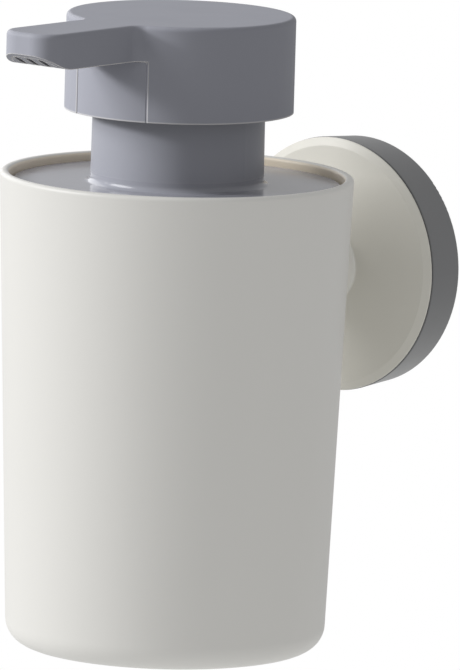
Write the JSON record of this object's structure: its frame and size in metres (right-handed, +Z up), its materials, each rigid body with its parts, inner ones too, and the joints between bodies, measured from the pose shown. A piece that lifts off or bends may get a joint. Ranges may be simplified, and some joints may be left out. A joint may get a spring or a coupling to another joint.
{
  "type": "soap dispenser",
  "caption": "Wall mounted pump soap dispenser: a tapered cup on a round rosette holds a lift-out bottle, closed by a lid with a press-down pump head and spout.",
  "frame": {"origin": "centre of the rosette on the wall face", "axes": "+Z up, +Y into the wall, the spout points along -Y"},
  "size_m": [0.076, 0.1168, 0.1372],
  "materials": {
    "white_shell": "satin white moulded plastic",
    "grey_head": "fine matt grey moulded plastic",
    "grey_lid": "grey moulded plastic, polished top",
    "grey_ring": "satin grey moulded plastic",
    "steel_plate": "brushed stainless plate",
    "bright_screw": "bright zinc-plated steel",
    "black_screw": "blackened steel",
    "brass_insert": "turned brass",
    "natural_bottle": "blown natural polyethylene",
    "pump_white": "moulded white polypropylene",
    "pump_natural": "moulded natural polyethylene",
    "soft_seal": "soft pale seal",
    "steel_spring": "bright stainless wire"
  },
  "bodies": {
    "holder": {"wall_plate": "steel_plate", "backing_ring": "grey_ring", "rosette": "white_shell", "grub_screw": "black_screw", "post_insert": "brass_insert", "cup_screw": "bright_screw", "cup_washer": "bright_screw", "locating_pins": "bright_screw", "cup": "white_shell"},
    "bottle": {"bottle": "natural_bottle"},
    "pump": {"pump_housing": "pump_natural", "gasket": "soft_seal", "stem_guide": "pump_white", "ball_cage": "pump_natural", "dip_tube": "pump_natural"},
    "lid": {"lid": "grey_lid", "screw_cap": "pump_white"},
    "plunger": {"spring_cap": "pump_white", "spring": "steel_spring"},
    "head": {"head_shell": "grey_head", "spout_cover": "grey_head", "flow_duct": "grey_head", "stem": "pump_white", "poppet": "pump_white"},
    "piston": {"piston": "soft_seal"},
    "ball": {"inlet_ball": "steel_spring"}
  },
  "joints": [
    {"name": "insert_lift", "type": "slide", "parent": "holder", "child": "bottle", "axis": [0, 0, 1], "range_m": [0, 0.105]},
    {"name": "pump_rise", "type": "slide", "parent": "bottle", "child": "pump", "axis": [0, 0, 1], "range_m": [0, 0.0063]},
    {"name": "lid_turn", "type": "hinge", "parent": "pump", "child": "lid", "pos_m": [0, -0.0645, 0.0229], "axis": [0, 0, 1], "range_deg": [0, 540]},
    {"name": "head_press", "type": "slide", "parent": "pump", "child": "plunger", "axis": [0, 0, -1], "range_m": [0, 0.012], "stiffness_N_per_m": 500, "springref_m": -0.006, "deforming": ["spring"]},
    {"name": "head_swivel", "type": "hinge", "parent": "plunger", "child": "head", "pos_m": [0, -0.0645, 0.0593], "axis": [0, 0, 1], "continuous": true},
    {"name": "piston_slip", "type": "slide", "parent": "head", "child": "piston", "axis": [0, 0, 1], "range_m": [0, 0.0012]},
    {"name": "ball_lift", "type": "slide", "parent": "pump", "child": "ball", "axis": [0, 0, 1], "range_m": [0, 0.0022]}
  ],
  "couplings": [
    {"joint": "lid_turn", "follows": "pump_rise", "rad_per_m": 1496}
  ]
}
